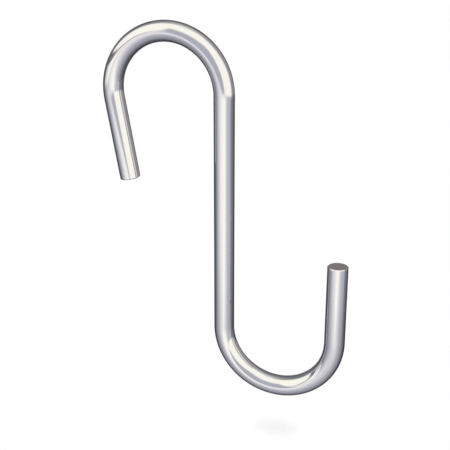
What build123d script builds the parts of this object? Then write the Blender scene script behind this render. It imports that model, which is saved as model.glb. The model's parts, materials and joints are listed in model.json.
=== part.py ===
"""S-hook bent from one length of round steel bar.

The upper hook hangs on a rail and the lower hook carries the load. Both lie in one plane, on opposite
sides of the straight shank between them. The upper bend goes a little past a half turn, so that its tip
leans in towards the shank and keeps the hook on its rail. The lower tip stands parallel to the shank.
The two ends are cut square, and their sharp edges are broken.

Millimetres. +Z is up along the shank, +X runs across from the upper hook to the lower one, and Y is
square to the plane of the bends. The origin is the rail seat, the highest point inside the upper bend.
"""

import os

from build123d import *

# Driving dimensions
rod_diameter = 6.0
upper_bend_inside_diameter = 28.2
lower_bend_inside_diameter = 28.2
shank_length = 70.0  # straight bar between the two bends
upper_tip_length = 24.0  # straight bar from the upper bend to its cut end
lower_tip_length = 24.0  # straight bar from the lower bend to its cut end
end_edge_break = 0.2  # chamfer on the edge of each cut end

# Bend angles, in degrees
upper_bend_angle = 190.0  # past a half turn, so that the upper tip leans in
lower_bend_angle = 180.0

# Bend radii on the centreline of the bar
upper_bend_radius = (upper_bend_inside_diameter + rod_diameter) / 2
lower_bend_radius = (lower_bend_inside_diameter + rod_diameter) / 2

# The shank starts level with the centre of the upper bend, straight below the rail seat
shank_x = upper_bend_radius
shank_top = -upper_bend_inside_diameter / 2
shank_bottom = shank_top - shank_length

# Directions in the plane of the bends
up = (0, 1)
down = (0, -1)

with BuildPart() as s_hook:
    # Both bends turn counterclockwise away from the shank, the upper one to -X and the lower one to +X
    with BuildLine(Plane.XZ) as centreline:
        shank = Line((shank_x, shank_top), (shank_x, shank_bottom))
        upper_bend = JernArc(shank @ 0, up, upper_bend_radius, upper_bend_angle)
        upper_tip = PolarLine(upper_bend @ 1, upper_tip_length, direction=upper_bend % 1)
        lower_bend = JernArc(shank @ 1, down, lower_bend_radius, lower_bend_angle)
        lower_tip = PolarLine(lower_bend @ 1, lower_tip_length, direction=lower_bend % 1)
    bar_path = centreline.wire()

    with BuildSketch(Plane(origin=bar_path @ 0, z_dir=bar_path % 0)) as bar_section:
        Circle(rod_diameter / 2)
    sweep(path=bar_path)

    cut_ends = s_hook.faces().filter_by(GeomType.PLANE)
    chamfer(cut_ends.edges(), end_edge_break)

s_hook.part.label = "s_hook"

os.makedirs("parts", exist_ok=True)
export_step(s_hook.part, "parts/s_hook.step")
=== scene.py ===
"""Looks of an S-hook: one polished steel bar, bent into an upper hook and a lower hook.

The bar is modelled again at the sizes that the frame's record gives, as one smooth closed mesh that
stands for the solid. It is drawn out ring by ring from one cut end to the other, and each point remembers
its place on the straight bar, so that the drawing lines follow the bends. Lengths are in metres and angles
in degrees, unless a name ends in _mm.
"""

import json
import logging
import math
from dataclasses import dataclass
from enum import Enum
from typing import Any

import bmesh
import bpy
from mathutils import Matrix, Vector


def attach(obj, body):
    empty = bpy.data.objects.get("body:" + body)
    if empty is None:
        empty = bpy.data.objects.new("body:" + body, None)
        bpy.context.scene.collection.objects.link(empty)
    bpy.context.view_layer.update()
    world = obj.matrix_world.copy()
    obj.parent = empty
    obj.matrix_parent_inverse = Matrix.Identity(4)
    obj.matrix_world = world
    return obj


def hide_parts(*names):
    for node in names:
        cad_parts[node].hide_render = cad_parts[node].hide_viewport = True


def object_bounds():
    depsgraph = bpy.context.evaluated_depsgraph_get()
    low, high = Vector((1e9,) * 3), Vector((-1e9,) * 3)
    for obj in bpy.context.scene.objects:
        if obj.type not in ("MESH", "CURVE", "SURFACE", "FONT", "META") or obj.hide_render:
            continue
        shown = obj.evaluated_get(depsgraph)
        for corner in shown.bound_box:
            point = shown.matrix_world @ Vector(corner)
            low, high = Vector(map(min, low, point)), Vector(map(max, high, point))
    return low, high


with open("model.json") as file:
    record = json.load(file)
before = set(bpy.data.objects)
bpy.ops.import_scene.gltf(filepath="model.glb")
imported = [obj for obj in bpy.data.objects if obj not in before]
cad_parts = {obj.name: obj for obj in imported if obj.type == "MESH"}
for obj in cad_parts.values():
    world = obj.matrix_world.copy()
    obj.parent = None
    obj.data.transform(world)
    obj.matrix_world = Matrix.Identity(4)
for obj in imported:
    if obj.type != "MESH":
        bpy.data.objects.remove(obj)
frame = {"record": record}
cad_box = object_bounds()

LOG = logging.getLogger("s_hook")
MM = 0.001
STRAIGHT_BAR = "straight_bar"
HALF_TURN = 180.0
WHITE = "#FFFFFF"

Colour = tuple[float, float, float, float]
Range = tuple[float, float]
Tree = bpy.types.NodeTree
Socket = bpy.types.NodeSocket


class Surface(Enum):
    """The two surfaces of the bar, by the number of their material."""

    BAR = 0
    CUT_END = 1


def linear(hex_code: str) -> Colour:
    """Turns an sRGB hex value into a linear colour.

    Args:
        hex_code: Six hex digits after a number sign.

    Returns:
        Linear red, green and blue, with an alpha of 1.
    """
    channels = [int(hex_code[i:i + 2], 16) / 255 for i in (1, 3, 5)]
    lifted = [c / 12.92 if c <= 0.04045 else ((c + 0.055) / 1.055) ** 2.4 for c in channels]
    return (*lifted, 1.0)


def add_node(
    tree: Tree, kind: str, inputs: dict[str | int, Any] | None = None, **settings: Any
) -> bpy.types.Node:
    """Adds a node, sets its properties and fills its inputs.

    Args:
        tree: Tree that takes the node.
        kind: Blender's type name of the node.
        inputs: A plain value, or the socket that feeds it, for each input by name or number.
        settings: Properties of the node.

    Returns:
        The new node.
    """
    node = tree.nodes.new(kind)
    for name, value in settings.items():
        setattr(node, name, value)
    for key, value in (inputs or {}).items():
        if isinstance(value, Socket):
            tree.links.new(value, node.inputs[key])
        else:
            node.inputs[key].default_value = value
    return node


def empty_material(name: str) -> tuple[bpy.types.Material, Tree]:
    """Makes a material with an empty node tree.

    Args:
        name: Name of the material.

    Returns:
        The material and its tree.
    """
    material = bpy.data.materials.new(name)
    material.use_nodes = True
    material.node_tree.nodes.clear()
    return material, material.node_tree


def mesh_object(name: str, bm: bmesh.types.BMesh) -> bpy.types.Object:
    """Puts a finished bmesh into the scene and frees it.

    Args:
        name: Name of the object and its mesh.
        bm: The modelled shape, in the frame's own place.

    Returns:
        The object, at the origin.
    """
    mesh = bpy.data.meshes.new(name)
    bm.to_mesh(mesh)
    bm.free()
    made = bpy.data.objects.new(name, mesh)
    bpy.context.scene.collection.objects.link(made)
    return made


@dataclass(frozen=True)
class PolishedSteel:
    """Bright-drawn steel bar, polished.

    It is near a mirror, with faint drawing lines along it and a little polishing haze.
    """

    name: str = "polished_bright_drawn_steel"
    light: str = "#E3E3E4"
    dark: str = "#DFDFE2"
    # steel gives back a little less at a glancing angle than a perfect mirror does; this tint is set darker
    # than that, as painted shade on the rim in place of mirrored dark surroundings
    grazing_tint_with_painted_rim_shade: str = "#A9A9AB"
    roughness: Range = (0.045, 0.085)
    # the haze times the lines, from where the steel is least worn to where it is most worn
    wear: Range = (0.1, 0.45)
    # real lines are finer: this is as coarse as they need to be to show
    line_width_mm: float = 0.5
    line_length_mm: float = 45.0
    haze_size_mm: float = 9.0
    line_depth_mm: float = 0.0006

    def material(self) -> bpy.types.Material:
        """Builds the bar's finish on the coordinates of the straight bar.

        Returns:
            The finish, with its roughness from the drawing lines where the haze is.
        """
        material, tree = empty_material(self.name)
        straight = add_node(tree, "ShaderNodeAttribute", attribute_name=STRAIGHT_BAR)
        across = 1 / (self.line_width_mm * MM)
        along = 1 / (self.line_length_mm * MM)
        drawn = add_node(
            tree, "ShaderNodeMapping",
            {"Vector": straight.outputs["Vector"], "Scale": (across, across, along)},
        )
        lines = add_node(
            tree, "ShaderNodeTexNoise",
            {"Vector": drawn.outputs["Vector"], "Scale": 1.0, "Detail": 2.0, "Roughness": 0.5},
        )
        haze = add_node(
            tree, "ShaderNodeTexNoise",
            {"Vector": straight.outputs["Vector"], "Scale": 1 / (self.haze_size_mm * MM), "Detail": 3.0},
        )
        worn = add_node(
            tree, "ShaderNodeMath", {0: haze.outputs["Fac"], 1: lines.outputs["Fac"]},
            operation="MULTIPLY",
        )
        colour = add_node(
            tree, "ShaderNodeMix",
            {"Factor": haze.outputs["Fac"], "A": linear(self.light), "B": linear(self.dark)},
            data_type="RGBA",
        )
        roughness = add_node(
            tree, "ShaderNodeMapRange",
            {"Value": worn.outputs["Value"], "From Min": self.wear[0], "From Max": self.wear[1],
             "To Min": self.roughness[0], "To Max": self.roughness[1]},
        )
        bump = add_node(
            tree, "ShaderNodeBump",
            {"Height": lines.outputs["Fac"], "Strength": 1.0, "Distance": self.line_depth_mm * MM},
        )
        steel = add_node(
            tree, "ShaderNodeBsdfPrincipled",
            {"Base Color": colour.outputs["Result"], "Metallic": 1.0,
             # the Specular Tint darkens the rim: partly steel's own dimming at a glancing angle, partly
             # painted rim shade
             "Roughness": roughness.outputs["Result"], "Specular Tint": linear(self.grazing_tint_with_painted_rim_shade),
             "Normal": bump.outputs["Normal"]},
        )
        add_node(tree, "ShaderNodeOutputMaterial", {"Surface": steel.outputs["BSDF"]})
        return material


@dataclass(frozen=True)
class CroppedEnd:
    """Cut end of the bar: bare steel, ground across after cropping.

    So it is duller and browner than the polished side.
    """

    name: str = "cropped_steel_end"
    light: str = "#D2C6C3"
    dark: str = "#BFB3B0"
    roughness: Range = (0.44, 0.54)
    # real marks are finer: this is as coarse as they need to be to show
    mark_pitch_mm: float = 2.827
    mark_depth_mm: float = 0.004
    wave_turn: float = 20.0  # radians that a wave texture of scale 1 turns through in a metre

    def material(self) -> bpy.types.Material:
        """Builds the end's finish, with grinding marks straight across it.

        Returns:
            The finish.
        """
        material, tree = empty_material(self.name)
        straight = add_node(tree, "ShaderNodeAttribute", attribute_name=STRAIGHT_BAR)
        scale = math.tau / (self.wave_turn * self.mark_pitch_mm * MM)
        marks = add_node(
            tree, "ShaderNodeTexWave",
            {"Vector": straight.outputs["Vector"], "Scale": scale, "Distortion": 1.5, "Detail": 3.0,
             "Detail Scale": 1.0},
            wave_type="BANDS", bands_direction="Y",
        )
        colour = add_node(
            tree, "ShaderNodeMix",
            {"Factor": marks.outputs["Fac"], "A": linear(self.dark), "B": linear(self.light)},
            data_type="RGBA",
        )
        roughness = add_node(
            tree, "ShaderNodeMapRange",
            {"Value": marks.outputs["Fac"], "To Min": self.roughness[1], "To Max": self.roughness[0]},
        )
        bump = add_node(
            tree, "ShaderNodeBump",
            {"Height": marks.outputs["Fac"], "Strength": 1.0, "Distance": self.mark_depth_mm * MM},
        )
        steel = add_node(
            tree, "ShaderNodeBsdfPrincipled",
            {"Base Color": colour.outputs["Result"], "Metallic": 1.0,
             "Roughness": roughness.outputs["Result"], "Normal": bump.outputs["Normal"]},
        )
        add_node(tree, "ShaderNodeOutputMaterial", {"Surface": steel.outputs["BSDF"]})
        return material


@dataclass(frozen=True)
class Stretch:
    """A straight or evenly bent length of the bar, in the order in which it is drawn out."""

    name: str
    length: float
    turn: float = 0.0
    pivot: Vector | None = None

    def step(self, place: Matrix, steps: int) -> Matrix:
        """Gives the move from one ring of the stretch to the next.

        Args:
            place: Where the last ring lies, with its own Z along the bar.
            steps: How many rings the stretch has.

        Returns:
            The move, in the frame's own axes.
        """
        if self.pivot is None:
            return Matrix.Translation(place.to_3x3().col[2] * (self.length / steps))
        turn = Matrix.Rotation(math.radians(self.turn) / steps, 4, "Y")
        return Matrix.Translation(self.pivot) @ turn @ Matrix.Translation(-self.pivot)


@dataclass(frozen=True)
class BentBar:
    """The hook: a round bar with a tip, a bend, the shank, a bend and a tip, in the plane of X and Z."""

    rod_radius: float
    upper_inside_radius: float
    lower_inside_radius: float
    shank_length: float
    upper_tip_length: float
    lower_tip_length: float
    upper_tip_lean: float
    edge_break: float
    sides: int = 96
    ring_spacing: float = 0.7 * MM
    crease_angle: float = 30.0

    @classmethod
    def from_record(cls, record: dict[str, Any], edge_break: float) -> "BentBar":
        """Reads the bar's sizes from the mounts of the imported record.

        Args:
            record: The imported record.
            edge_break: Width of the chamfer on the cut ends, where the tips' straight walls stop.

        Returns:
            The bar at its real size.
        """
        mounts = {mount["name"]: mount for mount in record["mounts"]}
        radius = {name: mount["dims"]["r_mm"] * MM for name, mount in mounts.items()}
        wall = {name: mounts[name]["dims"]["length_mm"] * MM for name in ("upper_tip", "lower_tip")}
        drop = mounts["rail_seat"]["pos_m"][2] - mounts["load_seat"]["pos_m"][2]
        tip_axis = mounts["upper_tip"]["axis"]
        return cls(
            rod_radius=radius["upper_tip"],
            upper_inside_radius=radius["rail_seat"],
            lower_inside_radius=radius["load_seat"],
            shank_length=drop - radius["rail_seat"] - radius["load_seat"],
            upper_tip_length=wall["upper_tip"] + edge_break,
            lower_tip_length=wall["lower_tip"] + edge_break,
            upper_tip_lean=math.degrees(math.atan2(tip_axis[0], -tip_axis[2])),
            edge_break=edge_break,
        )

    @property
    def upper_pivot(self) -> Vector:
        """Centre of the upper bend, straight below the rail seat."""
        return Vector((0.0, 0.0, -self.upper_inside_radius))

    @property
    def upper_radius(self) -> float:
        """Radius of the upper bend on the centreline."""
        return self.upper_inside_radius + self.rod_radius

    @property
    def lower_radius(self) -> float:
        """Radius of the lower bend on the centreline."""
        return self.lower_inside_radius + self.rod_radius

    @property
    def lower_pivot(self) -> Vector:
        """Centre of the lower bend, level with the foot of the shank."""
        return self.upper_pivot + Vector((self.upper_radius + self.lower_radius, 0.0, -self.shank_length))

    @property
    def shank_middle(self) -> Vector:
        """Middle of the shank, on its axis."""
        return self.upper_pivot + Vector((self.upper_radius, 0.0, -self.shank_length / 2))

    def stretches(self) -> list[Stretch]:
        """Lists the bar's stretches.

        Returns:
            The stretches from the upper cut end to the lower one.
        """
        upper_turn = HALF_TURN + self.upper_tip_lean
        lower_turn = HALF_TURN
        upper_arc = self.upper_radius * math.radians(upper_turn)
        lower_arc = self.lower_radius * math.radians(lower_turn)
        return [
            Stretch("upper tip", self.upper_tip_length - self.edge_break),
            Stretch("upper bend", upper_arc, upper_turn, self.upper_pivot),
            Stretch("shank", self.shank_length),
            Stretch("lower bend", lower_arc, -lower_turn, self.lower_pivot),
            Stretch("lower tip", self.lower_tip_length - self.edge_break),
        ]

    def start(self) -> Matrix:
        """Places the first ring, where the upper tip's wall meets its chamfer.

        Returns:
            Its place, with its own Z along the bar.
        """
        lean = math.radians(self.upper_tip_lean)
        out = Vector((math.sin(lean), 0.0, -math.cos(lean)))
        bend_end = self.upper_pivot + Vector((-math.cos(lean), 0.0, -math.sin(lean))) * self.upper_radius
        foot = bend_end + out * (self.upper_tip_length - self.edge_break)
        across = Vector((0.0, 1.0, 0.0)).cross(-out)
        turned = Matrix((across, Vector((0.0, 1.0, 0.0)), -out)).transposed()
        return Matrix.Translation(foot) @ turned.to_4x4()

    def build(self) -> bpy.types.Object:
        """Draws the bar out from its upper cut end to its lower one, then cuts and chamfers both ends.

        Returns:
            The bar as one closed piece, with its straight coordinates stored on its points.
        """
        bm = bmesh.new()
        straight = bm.verts.layers.float_vector.new(STRAIGHT_BAR)

        def remember(verts: list[bmesh.types.BMVert], place: Matrix, along: float) -> None:
            """Stores where points near a ring were on the straight bar.

            Args:
                verts: The points.
                place: Where the ring lies, with its own Z along the bar.
                along: How far along the straight bar the ring is.
            """
            to_ring = place.inverted()
            for vert in verts:
                vert[straight] = to_ring @ vert.co + Vector((0.0, 0.0, along))

        place = self.start()
        along = self.edge_break
        first = bmesh.ops.create_circle(
            bm, cap_ends=False, radius=self.rod_radius, segments=self.sides, matrix=place
        )["verts"]
        remember(first, place, along)
        ring = bm.edges[:]
        ends = [(ring, place, along, -1)]
        for stretch in self.stretches():
            steps = math.ceil(stretch.length / self.ring_spacing)
            move = stretch.step(place, steps)
            for _ in range(steps):
                grown = bmesh.ops.extrude_edge_only(bm, edges=ring)["geom"]
                verts = [item for item in grown if isinstance(item, bmesh.types.BMVert)]
                ring = [item for item in grown if isinstance(item, bmesh.types.BMEdge)]
                bmesh.ops.transform(bm, matrix=move, verts=verts)
                place = move @ place
                along += stretch.length / steps
                remember(verts, place, along)
            LOG.info("%s: %.1f mm in %d rings", stretch.name, stretch.length / MM, steps)
        ends.append((ring, place, along, 1))

        for rim, rim_place, rim_along, outward in ends:
            cap = bmesh.ops.edgeloop_fill(bm, edges=rim)["faces"][0]
            cap.normal_update()
            if cap.normal.dot(rim_place.to_3x3().col[2]) * outward < 0:
                cap.normal_flip()
            bmesh.ops.inset_region(
                bm, faces=[cap], thickness=self.edge_break, depth=self.edge_break, use_even_offset=True
            )
            fan = bmesh.ops.poke(bm, faces=[cap])["faces"]
            for face in fan:
                face.material_index = Surface.CUT_END.value
            remember(list({vert for face in fan for vert in face.verts}), rim_place, rim_along)

        bmesh.ops.recalc_face_normals(bm, faces=bm.faces)
        for face in bm.faces:
            face.smooth = True
        for edge in bm.edges:
            edge.smooth = edge.calc_face_angle() < math.radians(self.crease_angle)
        return mesh_object("bent_bar", bm)

    def dress(self, piece: bpy.types.Object) -> None:
        """Gives the bar its two finishes, in the order of Surface.

        Args:
            piece: The built bar.
        """
        for finish in (PolishedSteel(), CroppedEnd()):
            piece.data.materials.append(finish.material())


@dataclass(frozen=True)
class Viewpoint:
    """The photograph's camera: where it stands round the shank's middle and what it aims at."""

    azimuth: float = 20.51
    elevation: float = 19.86
    distance: float = 262.65 * MM
    aim_right: float = 0.22 * MM
    aim_up: float = -2.69 * MM
    field_of_view: float = 27.9
    nearest: float = 10.0 * MM

    def back(self) -> Vector:
        """Points from the object to the camera."""
        turn, rise = math.radians(self.azimuth), math.radians(self.elevation)
        return Vector((math.sin(turn) * math.cos(rise), -math.cos(turn) * math.cos(rise), math.sin(rise)))

    def build(self, middle: Vector) -> bpy.types.Object:
        """Sets up the camera.

        Args:
            middle: Middle of the shank, which the aim is measured from.

        Returns:
            The camera.
        """
        data = bpy.data.cameras.new("photo_camera")
        data.sensor_fit = "AUTO"
        data.angle = math.radians(self.field_of_view)
        data.clip_start = self.nearest
        camera = bpy.data.objects.new("photo_camera", data)
        bpy.context.scene.collection.objects.link(camera)
        back = self.back()
        turn = back.to_track_quat("Z", "Y")
        right, up = turn @ Vector((1.0, 0.0, 0.0)), turn @ Vector((0.0, 1.0, 0.0))
        camera.rotation_mode = "QUATERNION"
        camera.rotation_quaternion = turn
        camera.location = middle + right * self.aim_right + up * self.aim_up + back * self.distance
        bpy.context.scene.camera = camera
        return camera


class Tone(Enum):
    """The shades of the light tent's cloth and cards."""

    CREAM = "#FFFCF0"
    PALE = "#E0DCE0"
    SILVER = "#C0C2CC"
    BLUE_GREY = "#AEB0BA"
    GREY = "#888890"
    BROWN_GREY = "#A09896"
    SLATE = "#6C7076"
    CHARCOAL = "#4C5054"
    UMBER = "#544844"
    SOOT = "#363436"


Stops = tuple[tuple[float, Tone], ...]


@dataclass(frozen=True)
class Panel:
    """A four-sided card in the tent, with soft edges.

    Across is its azimuth from the camera, positive to the right, and along is its elevation. A softness is
    the width over which an edge fades.
    """

    name: str
    tone: Tone
    across: Range
    along: Range
    across_softness: Range
    along_softness: Range


@dataclass(frozen=True)
class Sight:
    """What the tent's nodes know of a point on it, seen from the hook."""

    ray: Socket
    azimuth: Socket
    elevation: Socket


@dataclass(frozen=True)
class Studio:
    """A white floor and world, with a light tent round the hook that only the polished metal shows.

    The tent is so wide that a reflection depends on its direction alone. Its front is lit cream, with a
    blue-grey card by the camera and a dark strip low on the left, which has a light under its thin end. Its
    sides turn dim and brown towards the back. The ground glows in front, below the foot of the wall, and goes
    dark straight below and behind. So the bar gets bright bands down its middle and dark edges against the
    white. A soft light low at the very back keeps it bright from behind.

    The stops of the wall and of the far ground go by azimuth. Those of the near ground go by how far a
    direction points to the front, from -1 to 1.
    """

    middle: Vector
    floor_height: float
    view_azimuth: float
    tent_radius: float = 6.0
    tent_sides: int = 96
    tent_rings: int = 64
    tent_top: float = 82.0
    tent_level: float = 1.25
    wall_low: Stops = (
        (-180.0, Tone.GREY), (-115.0, Tone.CHARCOAL), (-90.0, Tone.PALE), (30.0, Tone.CREAM),
        (75.0, Tone.CREAM), (100.0, Tone.GREY), (135.0, Tone.BROWN_GREY), (155.0, Tone.UMBER),
        (180.0, Tone.GREY),
    )
    wall_high: Stops = (
        (-150.0, Tone.SLATE), (-120.0, Tone.GREY), (-105.0, Tone.CREAM), (75.0, Tone.CREAM),
        (105.0, Tone.GREY), (130.0, Tone.BROWN_GREY), (150.0, Tone.SLATE),
    )
    low_to_high: Range = (8.0, 12.0)
    high_to_zenith: Range = (30.0, 125.0)
    wall_panels: tuple[Panel, ...] = (
        Panel("camera side card", Tone.BLUE_GREY, (-45.0, 5.0), (-30.0, 35.0), (5.0, 10.0), (5.0, 20.0)),
        Panel("left strip", Tone.SLATE, (-150.0, -80.0), (6.0, 12.0), (15.0, 15.0), (6.0, 3.0)),
        Panel("light under the strip", Tone.CREAM, (-75.0, -55.0), (-10.0, 2.0), (10.0, 10.0), (4.0, 2.0)),
        Panel("thin end of the strip", Tone.SLATE, (-110.0, -50.0), (3.0, 6.5), (5.0, 10.0), (1.0, 1.0)),
        Panel("foot of the wall", Tone.SILVER, (-85.0, 60.0), (-11.0, -9.5), (10.0, 10.0), (1.0, 1.0)),
    )
    horizon: Range = (-12.0, -7.0)
    ground_near: Stops = (
        (-1.0, Tone.GREY), (-0.8, Tone.CHARCOAL), (-0.4, Tone.CHARCOAL), (0.1, Tone.GREY),
        (0.6, Tone.BLUE_GREY), (0.88, Tone.PALE), (0.9, Tone.CREAM),
    )
    ground_far: Stops = (
        (-155.0, Tone.SOOT), (-105.0, Tone.SLATE), (-75.0, Tone.BLUE_GREY), (-50.0, Tone.PALE),
        (-10.0, Tone.CREAM), (5.0, Tone.CREAM), (30.0, Tone.SILVER), (70.0, Tone.BLUE_GREY),
        (75.0, Tone.GREY), (110.0, Tone.SLATE), (145.0, Tone.SOOT),
    )
    near_to_far: Range = (-30.0, -20.0)
    ground_panels: tuple[Panel, ...] = (
        Panel("front glow", Tone.CREAM, (-30.0, 12.0), (-20.0, -11.0), (60.0, 6.0), (4.0, 3.0)),
        Panel("back light, left", Tone.PALE, (-200.0, -155.0), (-24.0, -11.0), (20.0, 20.0), (6.0, 6.0)),
        Panel("back light, right", Tone.PALE, (155.0, 200.0), (-24.0, -11.0), (20.0, 20.0), (6.0, 6.0)),
    )
    ground_front: float = -10.0
    floor_radius: float = 8.0
    floor_sides: int = 64
    shadow_share: float = 0.05
    # painted shadow under the lowest bend: how near the hook must be, how deep the floor's glow is darkened,
    # and how many occlusion rays look
    painted_shadow_reach: float = 12.85 * MM
    painted_shadow_depth: float = 1.75
    painted_shadow_samples: int = 16

    def world(self) -> None:
        """Fills the surroundings with plain white."""
        world = bpy.data.worlds.new("white_surroundings")
        bpy.context.scene.world = world
        world.use_nodes = True
        tree = world.node_tree
        tree.nodes.clear()
        white = add_node(tree, "ShaderNodeBackground", {"Color": linear(WHITE), "Strength": 1.0})
        add_node(tree, "ShaderNodeOutputWorld", {"Surface": white.outputs["Background"]})

    def floor(self) -> bpy.types.Object:
        """Lays the white floor, with the hook's soft shadow and a painted shadow streak under its lowest
        bend.

        Returns:
            The floor.
        """
        bm = bmesh.new()
        bmesh.ops.create_circle(
            bm, cap_ends=True, radius=self.floor_radius, segments=self.floor_sides,
            matrix=Matrix.Translation((self.middle.x, self.middle.y, self.floor_height)),
        )
        floor = mesh_object("floor", bm)
        material, tree = empty_material("white_sweep")
        path = add_node(tree, "ShaderNodeLightPath")
        mirrored = add_node(
            tree, "ShaderNodeMath",
            {0: path.outputs["Is Glossy Ray"], 1: path.outputs["Is Transmission Ray"]},
            operation="MAXIMUM",
        )
        seen = add_node(
            tree, "ShaderNodeMath",
            {0: path.outputs["Is Camera Ray"], 1: mirrored.outputs["Value"]},
            operation="MAXIMUM",
        )
        # painted shadow: ambient occlusion darkens the floor's glow where the hook is near, a streak drawn in
        # and not cast by a lamp
        painted_contact_shadow = add_node(
            tree, "ShaderNodeAmbientOcclusion", {"Distance": self.painted_shadow_reach},
            samples=self.painted_shadow_samples,
        )
        level = add_node(
            tree, "ShaderNodeMapRange",
            {"Value": painted_contact_shadow.outputs["AO"], "To Min": 1.0 - self.painted_shadow_depth},
        )
        paper = add_node(tree, "ShaderNodeBsdfDiffuse", {"Color": linear(WHITE)})
        glow = add_node(
            tree, "ShaderNodeEmission", {"Color": linear(WHITE), "Strength": level.outputs["Result"]}
        )
        shown = add_node(
            tree, "ShaderNodeMixShader",
            {0: self.shadow_share, 1: glow.outputs["Emission"], 2: paper.outputs["BSDF"]},
        )
        both = add_node(
            tree, "ShaderNodeMixShader",
            {0: seen.outputs["Value"], 1: paper.outputs["BSDF"], 2: shown.outputs["Shader"]},
        )
        add_node(tree, "ShaderNodeOutputMaterial", {"Surface": both.outputs["Shader"]})
        floor.data.materials.append(material)
        floor.visible_glossy = False  # the polished metal mirrors the tent alone
        return floor

    def sight(self, tree: Tree) -> Sight:
        """Measures where a point of the tent lies round the hook.

        Args:
            tree: Tree that takes the nodes.

        Returns:
            The sight, with its ray's own X towards the camera and Y to the camera's right.
        """
        place = add_node(tree, "ShaderNodeTexCoord")
        turned = add_node(
            tree, "ShaderNodeMapping",
            {"Vector": place.outputs["Object"], "Location": self.middle,
             "Rotation": (0.0, 0.0, math.radians(self.view_azimuth - HALF_TURN / 2))},
            vector_type="TEXTURE",
        )
        around = add_node(
            tree, "ShaderNodeTexGradient", {"Vector": turned.outputs["Vector"]}, gradient_type="RADIAL"
        )
        azimuth = add_node(
            tree, "ShaderNodeMapRange",
            {"Value": around.outputs["Fac"], "To Min": -HALF_TURN, "To Max": HALF_TURN},
        )
        ray = add_node(
            tree, "ShaderNodeVectorMath", {0: turned.outputs["Vector"]}, operation="NORMALIZE"
        )
        parts = add_node(tree, "ShaderNodeSeparateXYZ", {"Vector": ray.outputs["Vector"]})
        rise = add_node(tree, "ShaderNodeMath", {0: parts.outputs["Z"]}, operation="ARCSINE")
        elevation = add_node(tree, "ShaderNodeMath", {0: rise.outputs["Value"]}, operation="DEGREES")
        return Sight(
            ray=ray.outputs["Vector"],
            azimuth=azimuth.outputs["Result"],
            elevation=elevation.outputs["Value"],
        )

    def ramp(self, tree: Tree, value: Socket, limit: float, stops: Stops) -> Socket:
        """Turns a measured value into a colour.

        Args:
            tree: Tree that takes the nodes.
            value: The measured value.
            limit: Largest size of the value, on either side of 0.
            stops: Value and tone of each stop.

        Returns:
            The colour.
        """
        share = add_node(
            tree, "ShaderNodeMapRange", {"Value": value, "From Min": -limit, "From Max": limit}
        )
        ramp = add_node(tree, "ShaderNodeValToRGB", {"Fac": share.outputs["Result"]})
        elements = ramp.color_ramp.elements
        while len(elements) < len(stops):
            elements.new(1.0)
        for element, (at, tone) in zip(elements, stops):
            element.position = (at + limit) / (2 * limit)
            element.color = linear(tone.value)
        return ramp.outputs["Color"]

    def step(self, tree: Tree, value: Socket, low: float, high: float) -> Socket:
        """Goes smoothly from 0 where a value is low to 1 where it is high.

        Args:
            tree: Tree that takes the node.
            value: The measured value.
            low: Value at 0.
            high: Value at 1, which may be the smaller one.

        Returns:
            The share.
        """
        node = add_node(
            tree, "ShaderNodeMapRange", {"Value": value, "From Min": low, "From Max": high},
            interpolation_type="SMOOTHSTEP",
        )
        return node.outputs["Result"]

    def blend(self, tree: Tree, share: Socket, first: Socket, second: Socket | Colour) -> Socket:
        """Goes from one colour to another.

        Args:
            tree: Tree that takes the node.
            share: How much of the second colour there is.
            first: Colour at 0.
            second: Colour at 1.

        Returns:
            The blended colour.
        """
        mixed = add_node(
            tree, "ShaderNodeMix", {"Factor": share, "A": first, "B": second}, data_type="RGBA"
        )
        return mixed.outputs["Result"]

    def lay(self, tree: Tree, colour: Socket, panel: Panel, sight: Sight) -> Socket:
        """Lays a panel over what the tent shows so far.

        Args:
            tree: Tree that takes the nodes.
            colour: What the tent shows so far.
            panel: The panel.
            sight: Where a point of the tent lies.

        Returns:
            The colour with the panel on it.
        """
        mask = None
        for value, edges, softness in (
            (sight.azimuth, panel.across, panel.across_softness),
            (sight.elevation, panel.along, panel.along_softness),
        ):
            for edge, soft, inwards in zip(edges, softness, (1.0, -1.0)):
                side = self.step(tree, value, edge - inwards * soft / 2, edge + inwards * soft / 2)
                mask = side if mask is None else add_node(
                    tree, "ShaderNodeMath", {0: mask, 1: side}, operation="MULTIPLY"
                ).outputs["Value"]
        LOG.info("tent panel: %s", panel.name)
        return self.blend(tree, mask, colour, linear(panel.tone.value))

    def wall(self, tree: Tree, sight: Sight) -> Socket:
        """Shades the tent's wall, from its foot to its open top, with the cards that hang on it.

        Args:
            tree: Tree that takes the nodes.
            sight: Where a point of the tent lies.

        Returns:
            The wall's colour.
        """
        colour = self.blend(
            tree,
            self.step(tree, sight.elevation, *self.low_to_high),
            self.ramp(tree, sight.azimuth, HALF_TURN, self.wall_low),
            self.ramp(tree, sight.azimuth, HALF_TURN, self.wall_high),
        )
        zenith = self.step(tree, sight.elevation, *self.high_to_zenith)
        colour = self.blend(tree, zenith, colour, linear(Tone.CREAM.value))
        for panel in self.wall_panels:
            colour = self.lay(tree, colour, panel, sight)
        return colour

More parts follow.
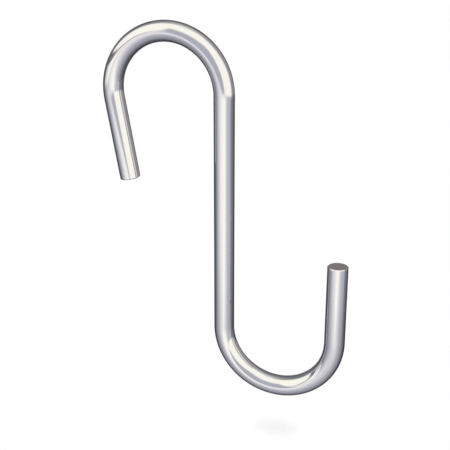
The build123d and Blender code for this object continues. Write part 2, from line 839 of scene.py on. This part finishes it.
    def ground(self, tree: Tree, sight: Sight) -> Socket:
        """Shades the tent's ground, light in front and dark behind, with a soft light at the back.

        Args:
            tree: Tree that takes the nodes.
            sight: Where a point of the tent lies.

        Returns:
            The ground's colour.
        """
        front = math.radians(self.ground_front)
        forward = add_node(
            tree, "ShaderNodeVectorMath", {0: sight.ray, 1: (math.cos(front), math.sin(front), 0.0)},
            operation="DOT_PRODUCT",
        )
        colour = self.blend(
            tree,
            self.step(tree, sight.elevation, *self.near_to_far),
            self.ramp(tree, forward.outputs["Value"], 1.0, self.ground_near),
            self.ramp(tree, sight.azimuth, HALF_TURN, self.ground_far),
        )
        for panel in self.ground_panels:
            colour = self.lay(tree, colour, panel, sight)
        return colour

    def tent(self) -> bpy.types.Object:
        """Raises the tent round the hook, lit in its own colours and shown in polished metal alone.

        Returns:
            The tent.
        """
        bm = bmesh.new()
        bmesh.ops.create_uvsphere(
            bm, u_segments=self.tent_sides, v_segments=self.tent_rings, radius=self.tent_radius
        )
        top = self.tent_radius * math.sin(math.radians(self.tent_top))
        bmesh.ops.bisect_plane(
            bm, geom=bm.verts[:] + bm.edges[:] + bm.faces[:], clear_outer=True,
            plane_co=(0.0, 0.0, top), plane_no=(0.0, 0.0, 1.0),
        )
        bmesh.ops.translate(bm, verts=bm.verts, vec=self.middle)
        tent = mesh_object("light_tent", bm)

        material, tree = empty_material("tent_cloth")
        sight = self.sight(tree)
        colour = self.blend(
            tree,
            self.step(tree, sight.elevation, *self.horizon),
            self.ground(tree, sight),
            self.wall(tree, sight),
        )
        glow = add_node(tree, "ShaderNodeEmission", {"Color": colour, "Strength": self.tent_level})
        add_node(tree, "ShaderNodeOutputMaterial", {"Surface": glow.outputs["Emission"]})
        tent.data.materials.append(material)
        tent.visible_camera = False
        tent.visible_diffuse = False
        tent.visible_transmission = False
        tent.visible_shadow = False
        return tent

    def build(self) -> None:
        """Sets up the white surroundings, the floor and the tent."""
        self.world()
        for made in (self.floor(), self.tent()):
            LOG.info("stage: %s", made.name)


def main() -> None:
    """Builds the bar, the camera and the studio, in that order."""
    logging.basicConfig(level=logging.INFO, format="%(message)s")
    bpy.context.scene.view_settings.view_transform = "Standard"

    bar = BentBar.from_record(frame["record"], edge_break=0.2 * MM)
    piece = bar.build()
    bar.dress(piece)
    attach(piece, "root")
    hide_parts("s_hook")
    LOG.info("piece: %s, %d faces", piece.name, len(piece.data.polygons))

    viewpoint = Viewpoint()
    viewpoint.build(bar.shank_middle)
    gap_under_hook = 11.9 * MM
    Studio(
        middle=bar.shank_middle,
        floor_height=cad_box[0].z - gap_under_hook,
        view_azimuth=viewpoint.azimuth,
    ).build()


if __name__ == "__main__":
    main()
